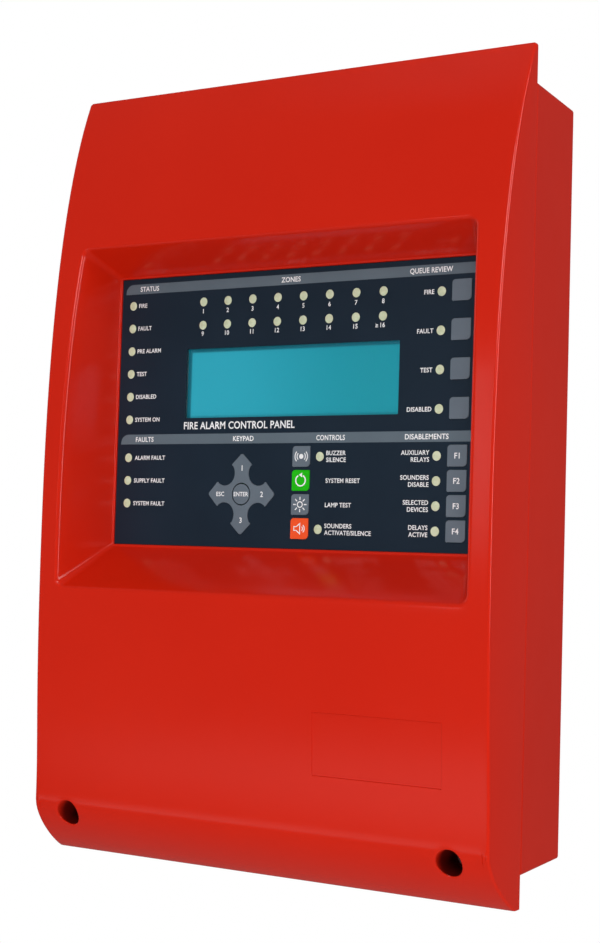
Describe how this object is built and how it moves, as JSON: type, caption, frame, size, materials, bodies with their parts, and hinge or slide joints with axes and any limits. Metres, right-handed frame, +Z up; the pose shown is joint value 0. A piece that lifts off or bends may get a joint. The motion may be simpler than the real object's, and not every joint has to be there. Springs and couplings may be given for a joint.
{
  "type": "fire alarm control panel",
  "caption": "Wall-hung fire alarm control panel: red box with a swing-open curved cover, recessed membrane keypad, lamp windows and a wide display.",
  "frame": {"origin": "centre of the back box's flat wall face", "axes": "+Z up, -Y towards the front, so +Y points into the wall; +X is to the right seen from the front"},
  "size_m": [0.2856, 0.0975, 0.445],
  "materials": {
    "red_abs": "glossy moulded ABS, red",
    "membrane": "satin polyester membrane, dark navy",
    "lcd_window": "clear window",
    "lcd": "backlit liquid crystal display, teal",
    "led_window": "translucent cream light windows",
    "key_grey": "satin grey key",
    "key_green": "satin green key",
    "key_orange": "satin orange key",
    "steel": "zinc-plated steel",
    "aluminium": "plain aluminium",
    "circuit_board": "green solder mask",
    "black_plastic": "black component plastic",
    "relay_case": "white relay case",
    "terminal_green": "green terminal plastic",
    "winding": "taped winding and core",
    "battery_case": "grey ABS battery case",
    "ribbon": "grey flat cable"
  },
  "bodies": {
    "box": {"back_box": "red_abs", "main_board": "circuit_board", "power_supply_board": "circuit_board", "transformer": "winding", "heatsink": "aluminium", "mains_terminal": "terminal_green", "fuse_carrier": "black_plastic", "earth_stud": "steel", "processor": "black_plastic", "relay_left": "relay_case", "relay_right": "relay_case", "terminals_left": "terminal_green", "terminals_middle": "terminal_green", "terminals_right": "terminal_green", "battery_left": "battery_case", "battery_right": "battery_case", "battery_strap_left": "steel", "battery_strap_right": "steel", "ribbon_main_side": "ribbon", "board_screw_1": "steel", "board_screw_2": "steel", "board_screw_3": "steel", "board_screw_4": "steel"},
    "cover": {"front_cover": "red_abs", "membrane_overlay": "membrane", "display_plate": "aluminium", "lcd_window": "lcd_window", "lcd_frame": "steel", "lcd_glass": "lcd", "display_board": "circuit_board", "buzzer": "black_plastic", "display_screw_left": "steel", "display_screw_right": "steel", "ribbon_display_side": "ribbon", "status_light_guide": "led_window", "zone_light_guide": "led_window", "queue_light_guide": "led_window", "fault_light_guide": "led_window", "control_light_guide": "led_window", "disablement_light_guide": "led_window"},
    "queue_key_1": {"queue_key_1": "key_grey"},
    "queue_key_2": {"queue_key_2": "key_grey"},
    "queue_key_3": {"queue_key_3": "key_grey"},
    "queue_key_4": {"queue_key_4": "key_grey"},
    "function_key_1": {"function_key_1": "key_grey"},
    "function_key_2": {"function_key_2": "key_grey"},
    "function_key_3": {"function_key_3": "key_grey"},
    "function_key_4": {"function_key_4": "key_grey"},
    "buzzer_silence_key": {"buzzer_silence_key": "key_grey"},
    "system_reset_key": {"system_reset_key": "key_green"},
    "lamp_test_key": {"lamp_test_key": "key_grey"},
    "sounders_key": {"sounders_key": "key_orange"},
    "pad_right_key": {"pad_right_key": "key_grey"},
    "pad_up_key": {"pad_up_key": "key_grey"},
    "pad_left_key": {"pad_left_key": "key_grey"},
    "pad_down_key": {"pad_down_key": "key_grey"},
    "enter_key": {"enter_key": "key_grey"},
    "cover_screw_left": {"cover_screw_left": "steel"},
    "cover_screw_right": {"cover_screw_right": "steel"}
  },
  "joints": [
    {"name": "cover_swing", "type": "hinge", "parent": "box", "child": "cover", "pos_m": [0, -0.0583, 0.2042], "axis": [-1, 0, 0], "range_deg": [0, 80]},
    {"name": "queue_key_1_press", "type": "slide", "parent": "cover", "child": "queue_key_1", "axis": [0, 1, 0], "range_m": [0, 0.0005], "stiffness_N_per_m": 900},
    {"name": "queue_key_2_press", "type": "slide", "parent": "cover", "child": "queue_key_2", "axis": [0, 1, 0], "range_m": [0, 0.0005], "stiffness_N_per_m": 900},
    {"name": "queue_key_3_press", "type": "slide", "parent": "cover", "child": "queue_key_3", "axis": [0, 1, 0], "range_m": [0, 0.0005], "stiffness_N_per_m": 900},
    {"name": "queue_key_4_press", "type": "slide", "parent": "cover", "child": "queue_key_4", "axis": [0, 1, 0], "range_m": [0, 0.0005], "stiffness_N_per_m": 900},
    {"name": "function_key_1_press", "type": "slide", "parent": "cover", "child": "function_key_1", "axis": [0, 1, 0], "range_m": [0, 0.0005], "stiffness_N_per_m": 900},
    {"name": "function_key_2_press", "type": "slide", "parent": "cover", "child": "function_key_2", "axis": [0, 1, 0], "range_m": [0, 0.0005], "stiffness_N_per_m": 900},
    {"name": "function_key_3_press", "type": "slide", "parent": "cover", "child": "function_key_3", "axis": [0, 1, 0], "range_m": [0, 0.0005], "stiffness_N_per_m": 900},
    {"name": "function_key_4_press", "type": "slide", "parent": "cover", "child": "function_key_4", "axis": [0, 1, 0], "range_m": [0, 0.0005], "stiffness_N_per_m": 900},
    {"name": "buzzer_silence_press", "type": "slide", "parent": "cover", "child": "buzzer_silence_key", "axis": [0, 1, 0], "range_m": [0, 0.0005], "stiffness_N_per_m": 900},
    {"name": "system_reset_press", "type": "slide", "parent": "cover", "child": "system_reset_key", "axis": [0, 1, 0], "range_m": [0, 0.0005], "stiffness_N_per_m": 900},
    {"name": "lamp_test_press", "type": "slide", "parent": "cover", "child": "lamp_test_key", "axis": [0, 1, 0], "range_m": [0, 0.0005], "stiffness_N_per_m": 900},
    {"name": "sounders_press", "type": "slide", "parent": "cover", "child": "sounders_key", "axis": [0, 1, 0], "range_m": [0, 0.0005], "stiffness_N_per_m": 900},
    {"name": "pad_right_press", "type": "slide", "parent": "cover", "child": "pad_right_key", "axis": [0, 1, 0], "range_m": [0, 0.0005], "stiffness_N_per_m": 900},
    {"name": "pad_up_press", "type": "slide", "parent": "cover", "child": "pad_up_key", "axis": [0, 1, 0], "range_m": [0, 0.0005], "stiffness_N_per_m": 900},
    {"name": "pad_left_press", "type": "slide", "parent": "cover", "child": "pad_left_key", "axis": [0, 1, 0], "range_m": [0, 0.0005], "stiffness_N_per_m": 900},
    {"name": "pad_down_press", "type": "slide", "parent": "cover", "child": "pad_down_key", "axis": [0, 1, 0], "range_m": [0, 0.0005], "stiffness_N_per_m": 900},
    {"name": "enter_press", "type": "slide", "parent": "cover", "child": "enter_key", "axis": [0, 1, 0], "range_m": [0, 0.0005], "stiffness_N_per_m": 900},
    {"name": "cover_screw_left_turn", "type": "hinge", "parent": "cover", "child": "cover_screw_left", "pos_m": [-0.1175, -0.066, -0.1952], "axis": [0, -1, 0], "continuous": true},
    {"name": "cover_screw_right_turn", "type": "hinge", "parent": "cover", "child": "cover_screw_right", "pos_m": [0.1175, -0.066, -0.1952], "axis": [0, -1, 0], "continuous": true}
  ]
}
